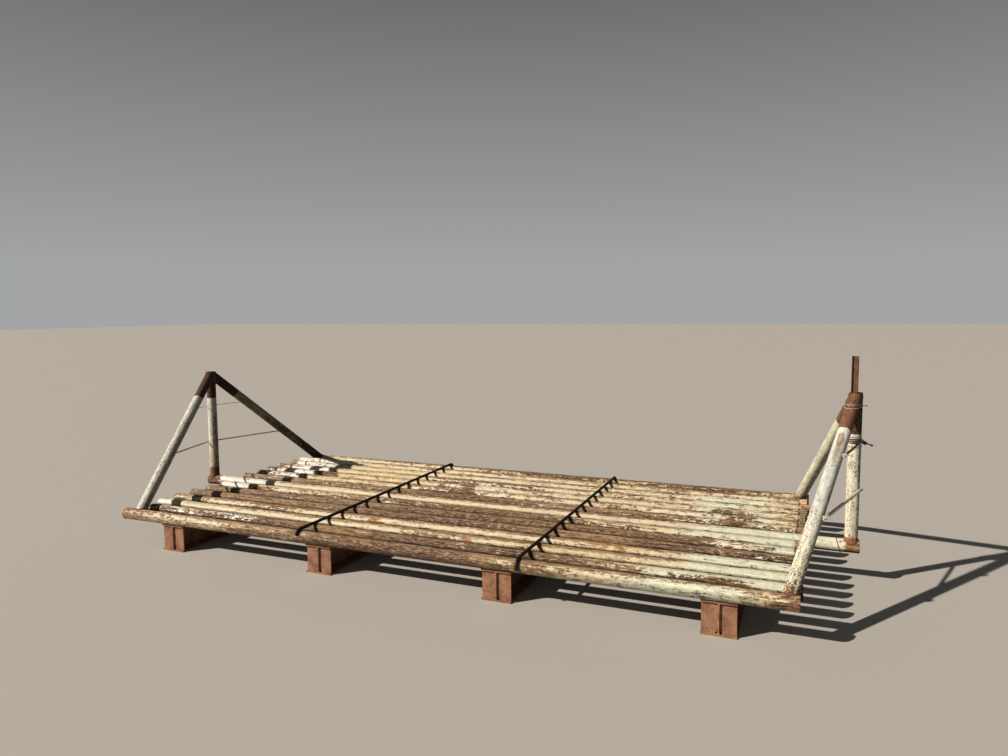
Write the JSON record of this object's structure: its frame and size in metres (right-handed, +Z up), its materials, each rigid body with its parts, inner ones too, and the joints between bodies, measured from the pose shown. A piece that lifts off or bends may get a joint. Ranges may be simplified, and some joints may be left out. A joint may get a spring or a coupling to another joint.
{
  "type": "cattle grid",
  "caption": "Cattle grid of welded pipes on steel beams, with dark spacer bars across the deck and a braced pipe wing at each end for the fence.",
  "frame": {"origin": "on the ground under the middle of the deck, midway between the wings", "axes": "+X along the pipes towards the wing with the angle iron, +Y along the track to the far side, +Z up"},
  "size_m": [5.6209, 2.4865, 1.5161],
  "materials": {
    "deck_pipe_paint": "worn matt paint, cream and pale green over brown rusted steel",
    "wing_pipe_paint": "chalky off-white paint with bare rusted heads and feet",
    "beam_rust": "rusted rolled steel",
    "dark_bar": "dark oxidised round bar",
    "tie_bar": "weathered round bar and wire",
    "angle_rust": "rusted angle iron"
  },
  "bodies": {
    "root": {"pipe_01": "deck_pipe_paint", "pipe_02": "deck_pipe_paint", "pipe_03": "deck_pipe_paint", "pipe_04": "deck_pipe_paint", "pipe_05": "deck_pipe_paint", "pipe_06": "deck_pipe_paint", "pipe_07": "deck_pipe_paint", "pipe_08": "deck_pipe_paint", "pipe_09": "deck_pipe_paint", "pipe_10": "deck_pipe_paint", "pipe_11": "deck_pipe_paint", "pipe_12": "deck_pipe_paint", "pipe_13": "deck_pipe_paint", "pipe_14": "deck_pipe_paint", "pipe_15": "deck_pipe_paint", "beam_1": "beam_rust", "beam_2": "beam_rust", "beam_3": "beam_rust", "beam_4": "beam_rust", "left_front_leg": "wing_pipe_paint", "left_post": "wing_pipe_paint", "left_back_leg": "wing_pipe_paint", "right_front_leg": "wing_pipe_paint", "right_post": "wing_pipe_paint", "right_back_leg": "wing_pipe_paint", "spacer_bar_left": "dark_bar", "spacer_bar_right": "dark_bar", "left_lower_tie": "tie_bar", "left_upper_tie": "tie_bar", "right_lower_rung": "tie_bar", "right_upper_rung": "tie_bar", "right_angle_iron": "angle_rust"}
  },
  "joints": []
}
